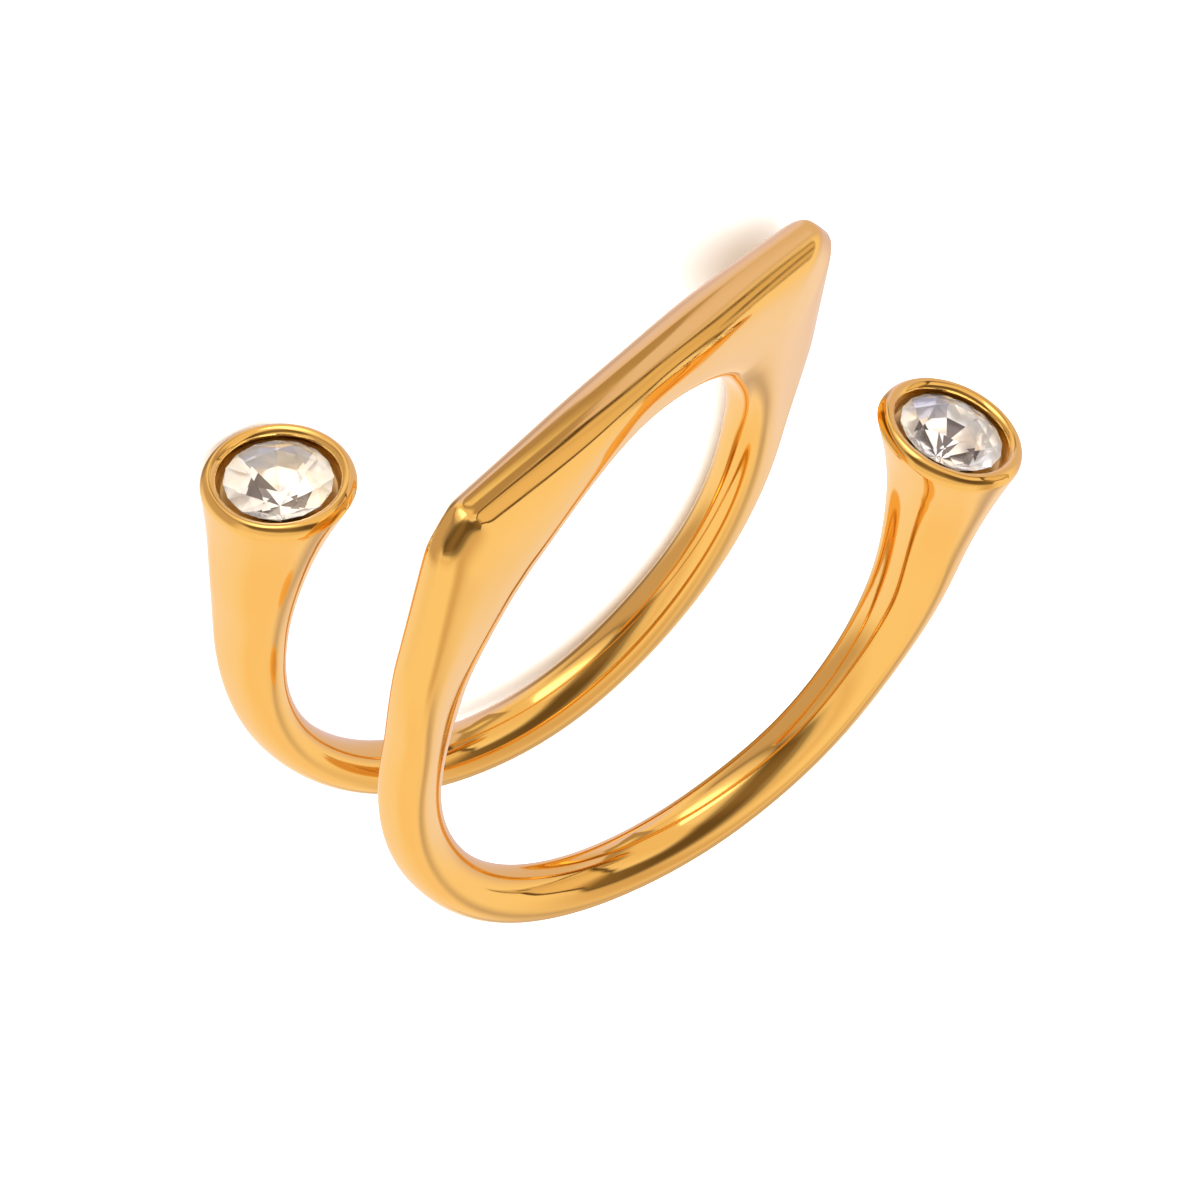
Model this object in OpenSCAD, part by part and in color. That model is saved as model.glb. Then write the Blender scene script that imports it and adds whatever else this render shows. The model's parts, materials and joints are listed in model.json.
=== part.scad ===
// Wrap ring: one cast wire round the finger. A straight raised bar lies slantwise across the top,
// and each free end rises beside the bar as a flared cup with a cut stone in it.
// The ring is worked out as it is worn: Z up through the middle of the bar, X along the bar, and
// Y along the finger. One half of the wire is worked out. The other is its half turn about Z.
// At the end the whole ring is laid on its side, as it rests by itself.

/* [Bar] */
// Height of the bar's top above the middle of the finger
bar_height = 11.22; // [10.9:0.02:12]
// How much lower the bar's top is at its ends than in its middle
crown = 0.25; // [0:0.05:0.5]
// Distance from the middle of the bar to the point where its top and the leg would meet
bar_reach = 10.65; // [10.2:0.05:11.4]
// Distance from the middle of the finger to the face that cuts off each corner
corner_cut = 14.65; // [14:0.05:15.5]
// Rounding of the corners, small is sharp
corner_r = 0.5; // [0.4:0.05:1.6]
// Lean of the leg's outer edge below the corner, out from upright
leg_lean = 10; // [4:0.5:16]

/* [Wire] */
// Squareness of the bar's section, where 2 is an ellipse
bar_square = 2.7; // [2:0.1:3.2]
// Squareness of the loops' section
loop_square = 2.3; // [2:0.1:3]

/* [Cups] */
// Distance from the middle of the ring to a cup, along the bar
cup_along = 9.7; // [9.4:0.05:10.2]
// Distance from the middle of the ring to a cup, along the finger
cup_aside = 6.3; // [6.1:0.05:6.8]
// Height of the top of a cup's lip above the middle of the finger
cup_height = 7.05; // [6.6:0.05:7.8]
// Diameter over a cup's lip
rim_d = 5.1; // [5:0.05:5.4]
// Thickness of the rounded lip
lip_w = 0.56; // [0.5:0.02:0.62]
// Drop from the top of the lip to its widest part
lip_drop = 0.4; // [0.3:0.05:0.6]
// Depth from the top of the lip to the shelf under the stone
well_depth = 0.75; // [0.65:0.05:0.9]
// Diameter of the well at the shelf
well_floor_d = 3.88; // [3.8:0.02:3.96]
// Lean of a cup outwards along the bar
cup_lean_along = 9; // [0:0.5:15]
// Lean of a cup outwards along the finger
cup_lean_aside = 6.5; // [0:0.5:12]

/* [Stones] */
// Diameter of a stone
stone_d = 3.6; // [3.4:0.05:3.65]
// Width of the table as a share of the diameter
table_share = 0.53; // [0.45:0.01:0.6]
// Height of the crown above the girdle
crown_h = 0.42; // [0.35:0.01:0.6]
// Thickness of the girdle
girdle_h = 0.08; // [0.05:0.01:0.15]
// Depth of the pavilion below the girdle
pavilion_h = 1.5; // [1.3:0.05:1.6]
// Depth of the girdle's top edge below the top of the lip
stone_sink = 0.22; // [0.15:0.01:0.3]
// Gap between the pavilion and the edge of the shelf that it sits on
seat_gap = 0.06; // [0.04:0.01:0.1]

/* [Rest] */
// Turn about Z before the ring is laid on its side, which brings its resting points level
rest_turn = 17.4; // [12:0.1:25]
// Small tip that is left between the bar and the floor when the ring lies still
rest_tip = -2.6; // [-5:0.1:5]

/* [Hidden] */

// Turn angles run from the middle of the bar, over one corner, down the leg, round under the
// finger and up the far side. These tables give the wire's sizes at a few turn angles.

// Columns: turn angle, distance from the middle of the finger to the wire's inner face
HOLE = [[-45, 8.8], [0, 8.65], [22, 8.75], [45, 8.8], [75, 8.85], [110, 8.75], [150, 8.75],
        [190, 8.65], [230, 8.45], [270, 8.5]];
// Columns: turn angle, depth of the wire from its inner face to its outer face
DEPTH = [[75, 2.6], [90, 2.35], [110, 2.1], [135, 1.95], [160, 1.9], [180, 1.75], [205, 1.65],
         [230, 1.65], [250, 1.78], [270, 2.08]];
// Columns: turn angle, half width of the wire along the finger
HALF_WIDTH = [[-22, 1.1], [0, 1], [22, 1.1], [46, 1.1], [56, 1.05], [75, 0.92], [90, 0.89],
              [110, 0.87], [135, 0.92], [160, 0.96], [180, 1], [205, 1.05], [230, 1.04],
              [250, 1.1], [270, 1.3]];
// Columns: turn angle, place of the wire's middle along the finger
DRIFT = [[-46, 0.9], [0, 0], [46, -0.9], [75, -1.34], [90, -1.37], [110, -1.53], [135, -2.05],
         [160, -2.76], [180, -3.5], [205, -4.48], [230, -5.38], [250, -5.84], [270, -6.22]];
// Columns: turn angle, how much wider the section is at its outer edge than at its middle
TAPER = [[-46, -0.18], [0, 0], [46, -0.18], [75, 0], [270, 0]];
// Columns: turn angle, lean of the section towards the finger tip, in degrees
LEAN = [[-46, 1.4], [0, 0], [46, -1.4], [75, -10.5], [90, -7.5], [110, -4], [135, 0], [270, 0]];
// Columns: turn angle, squareness of the section
SQUARE = [[-46, bar_square], [0, bar_square], [46, bar_square + 0.1], [70, bar_square + 0.1],
          [100, (bar_square + loop_square) / 2], [130, loop_square], [270, loop_square]];
// The arm between the loop and the cup
// Columns: share of the cup's height, place along the bar, place along the finger,
// half depth, half width
ARM = [[0.34, 9.84, -6.22, 1.38, 1.52],
       [0.66, 9.82, -6.27, 1.8, 1.96]];

section_sides = 24;
girdle_sides = 16;
loop_end = 270;
// Turn angles between which the leg's straight outer edge melts into the round of the loop
blend_from = 66;
blend_to = 86;
far_away = 40;
// Distance along the bar over which its crown is measured
crown_reach = 9.5;
// How much the lip's outer edge is bevelled, where 1 is round
lip_bevel = 1.15;

function unit(v) = v / norm(v);
function power(x, e) = sign(x) * pow(abs(x), e);
function eased(a, b, x) = let (t = min(max((x - a) / (b - a), 0), 1)) t * t * (3 - 2 * t);
function half_turn(p) = [-p[0], -p[1], p[2]];

// A smooth curve through a table, whose rows are a place and a value. A value is a number or a
// matrix.
function rise(t, i) = (t[i + 1][1] - t[i][1]) / (t[i + 1][0] - t[i][0]);
function slope(t, i) =
    i == 0 ? rise(t, 0) :
    i == len(t) - 1 ? rise(t, i - 1) :
    let (before = t[i][0] - t[i - 1][0], after = t[i + 1][0] - t[i][0])
    (rise(t, i - 1) * after + rise(t, i) * before) / (before + after);
function row_of(t, x, i = 0) = i >= len(t) - 2 || x < t[i + 1][0] ? i : row_of(t, x, i + 1);
function curve(t, x) =
    let (i = row_of(t, x), h = t[i + 1][0] - t[i][0], s = (x - t[i][0]) / h)
    t[i][1] * (1 + 2 * s) * (1 - s) * (1 - s) + t[i + 1][1] * s * s * (3 - 2 * s)
    + slope(t, i) * h * s * (1 - s) * (1 - s) - slope(t, i + 1) * h * s * s * (1 - s);

// Distance from the middle of the finger to the wire's outer face. Round a corner three straight
// edges meet: the top of the bar, the cut and the leg. A smooth minimum of the three rounds them.
leg_distance = bar_reach * cos(leg_lean) + bar_height * sin(leg_lean);
function edge(distance, share) = distance / max(share, distance / far_away);
function cornered(turn) =
    let (k = 6 / corner_r,
         share = min(bar_height * tan(min(turn, 57)), crown_reach) / crown_reach,
         bar = edge(bar_height - crown * share * share, cos(turn)),
         cut = edge(corner_cut, cos(turn - 45)),
         leg = edge(leg_distance, sin(turn + leg_lean)))
    -ln(exp(-k * bar) + exp(-k * cut) + exp(-k * leg)) / k;
function looped(turn) = curve(HOLE, turn) + curve(DEPTH, max(turn, DEPTH[0][0]));
function outer(turn) =
    let (b = eased(blend_from, blend_to, turn))
    b == 0 ? cornered(turn) :
    b == 1 ? looped(turn) :
    (1 - b) * cornered(turn) + b * looped(turn);

// A section of the wire is a matrix of three rows: its middle, its half depth away from the
// finger, and its half width.
function section(turn) =
    let (out = [-sin(turn), 0, cos(turn)],
         along = [0, 1, 0],
         inside = curve(HOLE, turn),
         outside = outer(turn),
         lean = curve(LEAN, turn))
    [out * (inside + outside) / 2 + along * curve(DRIFT, turn),
     (out * cos(lean) + along * sin(lean)) * (outside - inside) / 2,
     (along * cos(lean) - out * sin(lean)) * curve(HALF_WIDTH, turn)];

// The cup's own axes. The rim stands square to cup_axis.
cup_axis = unit([sin(cup_lean_along), -sin(cup_lean_aside), cos(cup_lean_along) * cos(cup_lean_aside)]);
cup_x = unit([1, 0, 0] - cup_axis[0] * cup_axis);
cup_y = cross(cup_axis, cup_x);
cup_top = [cup_along, -cup_aside, cup_height];
rim_r = rim_d / 2;
lip_r = lip_w / 2;
function in_cup(depth, r = 0) = [cup_top - cup_axis * depth, cup_x * r, cup_y * r];
function on_arm(row) =
    let (t = row[0])
    [[row[1], row[2], cup_height * t],
     ([1, 0, 0] * (1 - t) + cup_x * t) * row[3],
     ([0, 1, 0] * (1 - t) + cup_y * t) * row[4]];

// The arm runs on from the end of the loop, through its table, to the widest part of the lip.
arm_rows = [section(loop_end - 12), section(loop_end - 6), section(loop_end),
            on_arm(ARM[0]), on_arm(ARM[1]), in_cup(lip_drop, rim_r)];
function run_to(i) = i == 0 ? 0 : run_to(i - 1) + norm(arm_rows[i][0] - arm_rows[i - 1][0]);
arm = [for (i = [0 : len(arm_rows) - 1]) [run_to(i), arm_rows[i]]];
arm_start = run_to(2);
arm_end = run_to(len(arm_rows) - 1);
arm_steps = 13;

// The stone's pavilion sits on the edge of a round shelf in the cup.
pavilion_slope = atan(pavilion_h / (stone_d / 2));
shelf_r = stone_d / 2 - (well_depth - stone_sink - girdle_h) / tan(pavilion_slope)
    + seat_gap / sin(pavilion_slope);
pit_depth = stone_sink + girdle_h + pavilion_h + 5 * seat_gap;

// A ring of points round a section. More than half of the ring's width lies at its outer edge
// where taper is above zero.
function ring(s, n, taper = 0) =
    [for (i = [0 : section_sides - 1])
        let (a = 360 * i / section_sides, p = power(cos(a), 2 / n), q = power(sin(a), 2 / n))
        s[0] + s[1] * p + s[2] * q * (1 + taper * p)];

turns = concat([for (t = [0 : 6 : 30]) t], [for (t = [33 : 2 : 57]) t], [for (t = [60 : 7 : loop_end]) t]);
loop_rings = [for (t = turns) ring(section(t), curve(SQUARE, t), curve(TAPER, t))];
arm_rings = [for (i = [1 : arm_steps])
    let (t = i / arm_steps)
    ring(curve(arm, arm_start + (arm_end - arm_start) * t), loop_square * (1 - t) + 2 * t)];
// Over the lip: its bevelled outer side, then its round inner side
lip_rings = concat(
    [for (a = [30 : 30 : 60])
        let (up = pow(sin(a), lip_bevel), over = pow(cos(a), lip_bevel))
        ring(in_cup(lip_drop * (1 - up), rim_r - lip_r * (1 - over)), 2)],
    [for (a = [90 : 30 : 180]) ring(in_cup(lip_r * (1 - sin(a)), rim_r - lip_r * (1 - cos(a))), 2)]);
well_rings = [ring(in_cup(well_depth, well_floor_d / 2), 2), ring(in_cup(well_depth, shelf_r), 2)];
half = concat(loop_rings, arm_rings, lip_rings, well_rings);
pit = in_cup(pit_depth)[0];

// The whole wire, from the pit of one cup to the pit of the other. The half turn sends point i of
// a ring to the place of point -i, so the other half's rings are read backwards.
function turned(points) =
    [for (i = [0 : section_sides - 1]) half_turn(points[(section_sides - i) % section_sides])];
rings = concat([for (k = [len(half) - 1 : -1 : 1]) turned(half[k])], half);
wire_points = concat([for (r = rings) each r], [half_turn(pit), pit]);
last_ring = (len(rings) - 1) * section_sides;
first_pit = len(rings) * section_sides;
wire_faces = concat(
    [for (k = [0 : len(rings) - 2], i = [0 : section_sides - 1])
        let (a = k * section_sides, b = a + section_sides, j = (i + 1) % section_sides)
        each [[a + i, b + j, a + j], [a + i, b + i, b + j]]],
    [for (i = [0 : section_sides - 1]) [first_pit, i, (i + 1) % section_sides]],
    [for (i = [0 : section_sides - 1])
        [first_pit + 1, last_ring + (i + 1) % section_sides, last_ring + i]]);

// How the ring is laid down: turned about Z, tipped onto its side, and set on the floor.
rest_angle = -(90 + rest_tip);
tip_matrix = [[1, 0, 0],
              [0, cos(rest_angle), -sin(rest_angle)],
              [0, sin(rest_angle), cos(rest_angle)]];
turn_matrix = [[cos(rest_turn), -sin(rest_turn), 0],
               [sin(rest_turn), cos(rest_turn), 0],
               [0, 0, 1]];
rest_matrix = tip_matrix * turn_matrix;
tipped = [for (p = wire_points) rest_matrix * p];
function low(c) = min([for (p = tipped) p[c]]);
function high(c) = max([for (p = tipped) p[c]]);
rest_place = [(low(0) + high(0)) / 2, (low(1) + high(1)) / 2, low(2)];
function at_rest(points) = [for (p = points) rest_matrix * p - rest_place];

// A round brilliant: a table, 8 stars, 8 kites and 16 upper halves above the girdle, and 16 lower
// halves and 8 mains below it. Heights are measured from the girdle's top edge.
stone_r = stone_d / 2;
table_r = stone_r * table_share;
star_r = (table_r * cos(22.5) + stone_r) / 2;
star_z = crown_h * (stone_r - star_r * cos(22.5)) / (stone_r - table_r);
lower_r = stone_r * 0.28;
lower_z = -girdle_h - pavilion_h * (1 - lower_r * cos(22.5) / stone_r);
function circle_points(n, r, z, start = 0) =
    [for (i = [0 : n - 1]) [r * cos(start + 360 * i / n), r * sin(start + 360 * i / n), z]];
stone_points = concat(
    circle_points(8, table_r, crown_h),
    circle_points(8, star_r, star_z, 22.5),
    circle_points(girdle_sides, stone_r, 0),
    circle_points(girdle_sides, stone_r, -girdle_h),
    circle_points(8, lower_r, lower_z, 22.5),
    [[0, 0, -girdle_h - pavilion_h]]);
// Places of the first point of each circle in the list above
star = 8;
upper = 16;
under = upper + girdle_sides;
lower = under + girdle_sides;
culet = lower + 8;
stone_faces = concat(
    [[for (i = [7 : -1 : 0]) i]],
    [for (i = [0 : 7])
        let (next = (i + 1) % 8, last = (i + 7) % 8, g = 2 * i, g1 = g + 1, g2 = (g + 2) % girdle_sides)
        each [[i, next, star + i],
              [i, star + i, upper + g],
              [i, upper + g, star + last],
              [star + i, upper + g1, upper + g],
              [star + i, upper + g2, upper + g1],
              [lower + i, under + g, under + g1],
              [lower + i, under + g1, under + g2],
              [culet, under + g, lower + i],
              [culet, lower + last, under + g]]],
    [for (i = [0 : girdle_sides - 1])
        let (j = (i + 1) % girdle_sides)
        each [[upper + i, upper + j, under + j], [upper + i, under + j, under + i]]]);
cup_matrix = [for (c = [0 : 2]) [cup_x[c], cup_y[c], cup_axis[c]]];
set_stone = [for (p = stone_points) cup_top - cup_axis * stone_sink + cup_matrix * p];

module band() {
    color([0.94, 0.70, 0.33])
        polyhedron(at_rest(wire_points), wire_faces);
}

module right_stone() {
    color([0.90, 0.93, 0.96])
        polyhedron(at_rest(set_stone), stone_faces);
}

module left_stone() {
    color([0.90, 0.93, 0.96])
        polyhedron(at_rest([for (p = set_stone) half_turn(p)]), stone_faces);
}

band();
left_stone();
right_stone();
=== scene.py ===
"""Wrap ring: a gold coloured wire with a raised bar, and a cut stone in the cup at each end.

The ring is worked out in millimetres as it is worn: Z up through the middle of the bar, X along
the bar and Y along the finger. It is then laid on its side, where the frame has it.
"""

import json
import math

import bpy
import numpy as np
from mathutils import Matrix, Vector


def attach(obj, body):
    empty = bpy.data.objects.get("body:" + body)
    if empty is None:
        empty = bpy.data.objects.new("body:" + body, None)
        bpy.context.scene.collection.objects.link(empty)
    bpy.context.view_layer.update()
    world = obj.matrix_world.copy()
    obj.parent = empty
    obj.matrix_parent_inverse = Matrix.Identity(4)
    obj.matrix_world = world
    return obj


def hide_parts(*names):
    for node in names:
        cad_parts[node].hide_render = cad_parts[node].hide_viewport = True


bl_info = {
    "name": "Wrap Ring",
    "version": (1, 0, 0),
    "blender": (4, 5, 0),
    "location": "3D View > Sidebar > Wrap Ring",
    "description": "Builds a gold wrap ring with a cut stone in each of its two flared cups",
    "category": "Object",
}

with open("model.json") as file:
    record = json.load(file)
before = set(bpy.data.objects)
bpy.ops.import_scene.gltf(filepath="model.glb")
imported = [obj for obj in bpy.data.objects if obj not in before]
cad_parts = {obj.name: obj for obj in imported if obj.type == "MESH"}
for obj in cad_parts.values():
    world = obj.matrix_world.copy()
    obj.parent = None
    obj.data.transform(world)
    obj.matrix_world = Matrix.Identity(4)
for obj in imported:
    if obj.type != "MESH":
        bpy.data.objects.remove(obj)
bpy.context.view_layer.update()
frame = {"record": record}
BODY = "root"
MM = 0.001

# Where the middle of the finger lies while the ring rests on its side
WORN_CENTRE = Vector(frame["record"]["mounts"][0]["pos_m"])


# Properties

def length(name, description, millimetres):
    return bpy.props.FloatProperty(
        name=name,
        description=description,
        default=millimetres * MM,
        precision=5,
        subtype="DISTANCE",
        unit="LENGTH",
    )


def angle(name, description, degrees):
    return bpy.props.FloatProperty(
        name=name,
        description=description,
        default=math.radians(degrees),
        subtype="ANGLE",
        unit="ROTATION",
    )


def colour(name, description, value):
    return bpy.props.FloatVectorProperty(
        name=name,
        description=description,
        default=value,
        size=3,
        min=0.0,
        soft_max=1.0,
        subtype="COLOR",
    )


def number(name, description, value):
    return bpy.props.FloatProperty(name=name, description=description, default=value, precision=3)


class WireSizes(bpy.types.PropertyGroup):
    bar_height: length("Bar height", "Height of the bar's top above the middle of the finger", 11.22)
    crown: length("Bar crown", "How much lower the bar's top is at its ends than in its middle", 0.25)
    bar_reach: length("Bar reach", "From the bar's middle to where its top would meet the leg", 10.65)
    corner_cut: length("Corner cut", "From the finger's middle to the face across a corner", 14.65)
    corner_r: length("Corner rounding", "Rounding of the corners", 0.5)
    leg_lean: angle("Leg lean", "Lean of the leg's outer edge below the corner", 10.0)
    sides: bpy.props.IntProperty(name="Sides", description="Points round the wire", default=96, min=24)


class CupSizes(bpy.types.PropertyGroup):
    along: length("Along the bar", "From the middle of the ring to a cup, along the bar", 9.7)
    aside: length("Along the finger", "From the middle of the ring to a cup, along the finger", 6.3)
    height: length("Height", "Height of the top of the lip above the middle of the finger", 7.05)
    rim_d: length("Rim diameter", "Diameter over a cup's lip", 5.1)
    lip_w: length("Lip width", "Thickness of the rounded lip", 0.56)
    lip_drop: length("Lip drop", "From the top of the lip down to its widest part", 0.4)
    well_depth: length("Well depth", "From the top of the lip to the shelf under the stone", 0.75)
    well_floor_d: length("Well floor", "Diameter of the well at the shelf", 3.88)
    lean_along: angle("Lean along", "Lean of a cup outwards along the bar", 9.0)
    lean_aside: angle("Lean aside", "Lean of a cup outwards along the finger", 6.5)


class StoneSizes(bpy.types.PropertyGroup):
    diameter: length("Diameter", "Diameter of a stone", 3.6)
    table_share: number("Table share", "Width of the table as a share of the diameter", 0.53)
    crown_h: length("Crown height", "Height of the crown above the girdle", 0.42)
    girdle_h: length("Girdle", "Thickness of the girdle", 0.08)
    pavilion_h: length("Pavilion depth", "Depth of the pavilion below the girdle", 1.5)
    sink: length("Sink", "Depth of the girdle's top edge below the top of the lip", 0.22)
    seat_gap: length("Seat gap", "Gap between the pavilion and its seat", 0.06)


class RestPose(bpy.types.PropertyGroup):
    turn: angle("Turn", "Turn about the worn upright before the ring is laid down", 17.4)
    tip: angle("Tip", "Tip that is left between the bar and the floor", -2.6)


class GoldLook(bpy.types.PropertyGroup):
    warm: colour("Warm gold", "Colour of most of the metal", (0.95, 0.595, 0.165))
    pale: colour("Pale gold", "Colour where the plating is a little lighter", (0.95, 0.615, 0.185))
    # Painted light: the cup wall's gold is paler than the rest so that the deep well looks less shaded
    cup_painted_light_gold: colour("Cup gold", "Colour of the paler wall inside a cup", (0.98, 0.73, 0.34))
    roughness: number("Roughness", "Roughness of the polished metal", 0.07)
    cup_roughness: number("Cup roughness", "Roughness of the less polished wall inside a cup", 0.4)
    wave_height: length("Waves", "Height of the soft waves that polishing leaves", 0.004)
    mark_height: length("Marks", "Height of the finest polishing marks", 0.0001)


class CrystalLook(bpy.types.PropertyGroup):
    clear: colour("Clear glass", "Colour of the glass", (1.0, 1.0, 1.0))
    # Painted reflection and painted shade: the creamy glass stands for the warm tent mirrored in some
    # facets, the grey glass for shade on others
    clear_painted_reflection: colour("Creamy glass", "Colour of the facets that look creamy", (1.0, 0.94, 0.84))
    clear_painted_shade: colour("Grey glass", "Colour of the facets that look greyish", (0.72, 0.72, 0.8))
    foil: colour("Foil", "Colour of the silvery foil behind the glass", (0.97, 0.96, 0.955))
    # Painted reflection and painted shade: the cream foil stands for the cup mirrored in some facets,
    # the grey and dark foil for shade on others
    foil_painted_reflection: colour("Cream foil", "Colour of the facets that mirror the cup", (0.98, 0.89, 0.76))
    foil_painted_shade: colour("Grey foil", "Colour of the facets that lie half in shade", (0.62, 0.62, 0.7))
    foil_painted_deep_shade: colour("Dark foil", "Colour of the darkest facets", (0.16, 0.13, 0.12))
    foil_metal: number("Foil mirror", "Share of the foil's light that is mirrored", 0.65)
    foil_rough: number("Foil roughness", "Roughness of the foil", 0.15)
    ior: number("Index of refraction", "How strongly the glass bends light", 1.58)


class StudioSetup(bpy.types.PropertyGroup):
    view_azimuth: angle("View azimuth", "Turn of the camera about the worn upright", -58.18)
    view_elevation: angle("View elevation", "Camera's height over the worn level", 43.03)
    view_roll: angle("View roll", "Roll of the camera", 13.52)
    view_distance: length("View distance", "From the camera to the middle of the ring", 419.26)
    pixels_per_mm: number("Pixels per millimetre", "Scale of the image at the ring", 30.48)
    centre_x: number("Centre across", "Pixel across at which the middle of the ring shows", 582.1)
    centre_y: number("Centre down", "Pixel down at which the middle of the ring shows", 605.5)
    floor_colour: colour("Floor", "Colour of the floor", (0.97, 0.97, 0.97))
    room_colour: colour("Room", "Light of the white room on dull surfaces", (2.3, 2.28, 2.25))


# Side of the image in pixels, and width of the camera's sensor in millimetres
IMAGE_SIDE = 1200
SENSOR = 36.0

# Tables of the wire's sizes at a few turn angles, in degrees and millimetres. Turn angles run
# from the middle of the bar, over one corner, down the leg, round under the finger and up.

# Turn angle, distance from the middle of the finger to the wire's inner face
HOLE = [(-45, 8.8), (0, 8.65), (22, 8.75), (45, 8.8), (75, 8.85), (110, 8.75), (150, 8.75),
        (190, 8.65), (230, 8.45), (270, 8.5)]
# Turn angle, depth of the wire from its inner face to its outer face
DEPTH = [(75, 2.6), (90, 2.35), (110, 2.1), (135, 1.95), (160, 1.9), (180, 1.75), (205, 1.65),
         (230, 1.65), (250, 1.78), (270, 2.08)]
# Turn angle, half width of the wire along the finger
HALF_WIDTH = [(-22, 1.1), (0, 1), (22, 1.1), (46, 1.1), (56, 1.05), (75, 0.92), (90, 0.89),
              (110, 0.87), (135, 0.92), (160, 0.96), (180, 1), (205, 1.05), (230, 1.04),
              (250, 1.1), (270, 1.3)]
# Turn angle, place of the wire's middle along the finger
DRIFT = [(-46, 0.9), (0, 0), (46, -0.9), (75, -1.34), (90, -1.37), (110, -1.53), (135, -2.05),
         (160, -2.76), (180, -3.5), (205, -4.48), (230, -5.38), (250, -5.84), (270, -6.22)]
# Turn angle, how much wider the section is at its outer edge than at its middle
TAPER = [(-46, -0.18), (0, 0), (46, -0.18), (75, 0), (270, 0)]
# Turn angle, lean of the section towards the finger tip, in degrees
LEAN = [(-46, 1.4), (0, 0), (46, -1.4), (75, -10.5), (90, -7.5), (110, -4), (135, 0), (270, 0)]
# Turn angle, squareness of the section, where 2 is an ellipse
SQUARE = [(-46, 2.7), (0, 2.7), (46, 2.8), (70, 2.8), (100, 2.5), (130, 2.3), (270, 2.3)]
# Share of the cup's height, place along the bar and the finger, half depth, half width
ARM = [(0.34, 9.84, -6.22, 1.38, 1.52),
       (0.66, 9.82, -6.27, 1.8, 1.96)]

# Turn angle at which the arm carries on from the loop, and the step of the sections before it
LOOP_END = 270
LEAD_STEP = 6.0
# Reach over which the small kinks of a table are averaged out, in degrees
LONG_REACH = 8
SHORT_REACH = 6
# Turn angles between which the leg's straight outer edge melts into the round of the loop
BLEND_FROM = 66
BLEND_TO = 86
# Distance along the bar over which its crown is measured
CROWN_REACH = 9.5
# How tightly the bar, the corner and the leg keep to a rounding of 1 mm
CORNER_TIGHTNESS = 6
# An edge that a direction doesn't meet counts as this far away
FAR_AWAY = 40
# Turn angles between which the sections lie closer, and the step there and elsewhere
CORNER_TURNS = (30, 62)
CORNER_STEP = 0.45
TURN_STEP = 1.0
# Reach over which curvature is evened out on the bar and on the loop, and where it changes
BAR_EVEN = 0.12
LOOP_EVEN = 0.57
EVEN_TURNS = (60, 90)
# How much the lip's outer edge is bevelled, where 1 is round
LIP_BEVEL = 1.15
# Shares of the cup's wall, from the lip to the shelf, at which a section lies
WALL_SHARES = (0.15, 0.4, 0.7, 0.9)
# Rounding between the wall and the shelf
WELL_FILLET = 0.05
# Depth below the shelf and distance outside its inner edge of the sections that round the edge
SHELF_EDGE = ((0, 0.03), (0.01, 0), (0.06, -0.05))
# How many seat gaps the pit's point lies below the stone's point
PIT_GAPS = 5
# Depth over which the wall's paler gold, a painted light that lifts the shade of the well, takes over
# from the lip's
CUP_FADE = 0.1

# The other half of the ring is the first half turned about the worn upright
HALF_TURN = np.array([-1.0, -1.0, 1.0])


# Curves and sections

def curve(table, place):
    """A smooth curve through the rows of a table. A row is a place and one or more values."""
    places = np.array([row[0] for row in table], float)
    values = np.array([np.ravel(row[1:]) for row in table], float)
    place = np.atleast_1d(np.asarray(place, float))
    gaps = np.diff(places)
    rises = np.diff(values, axis=0) / gaps[:, None]
    weighed = rises[:-1] * gaps[1:, None] + rises[1:] * gaps[:-1, None]
    inner = weighed / (gaps[1:] + gaps[:-1])[:, None]
    slopes = np.vstack([rises[:1], inner, rises[-1:]])
    i = np.clip(np.searchsorted(places, place, side="right") - 1, 0, len(places) - 2)
    h = gaps[i][:, None]
    s = ((place - places[i]) / gaps[i])[:, None]
    return (
        values[i] * (1 + 2 * s) * (1 - s) ** 2
        + values[i + 1] * s * s * (3 - 2 * s)
        + slopes[i] * h * s * (1 - s) ** 2
        - slopes[i + 1] * h * s * s * (1 - s)
    )


def soft_curve(table, place, reach):
    """The same curve with its small kinks averaged out over a short reach to both sides."""
    steps = np.linspace(-1, 1, 13)
    weights = (1 - steps ** 2) ** 2
    total = sum(w * curve(table, np.asarray(place) + reach * d) for d, w in zip(steps, weights))
    return total / weights.sum()


def eased(a, b, x):
    t = np.clip((x - a) / (b - a), 0, 1)
    return t * t * (3 - 2 * t)


def unit(v):
    return v / np.linalg.norm(v)


def outer(wire, turn):
    """Distance from the middle of the finger to the wire's outer face at each turn angle."""
    lean = wire.leg_lean
    height = wire.bar_height / MM
    leg_distance = wire.bar_reach / MM * math.cos(lean) + height * math.sin(lean)
    tightness = CORNER_TIGHTNESS / (wire.corner_r / MM)
    radians = np.radians(turn)

    def edge(distance, share):
        return distance / np.maximum(share, distance / FAR_AWAY)

    along = np.minimum(height * np.tan(np.minimum(radians, 1.0)), CROWN_REACH)
    edges = [
        edge(height - wire.crown / MM * (along / CROWN_REACH) ** 2, np.cos(radians)),
        edge(wire.corner_cut / MM, np.cos(radians - math.pi / 4)),
        edge(leg_distance, np.sin(radians + lean)),
    ]
    cornered = -np.log(sum(np.exp(-tightness * e) for e in edges)) / tightness
    depth = soft_curve(DEPTH, np.maximum(turn, DEPTH[0][0]), LONG_REACH)
    looped = (soft_curve(HOLE, turn, LONG_REACH) + depth)[:, 0]
    share = eased(BLEND_FROM, BLEND_TO, turn)
    return (1 - share) * cornered + share * looped


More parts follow.
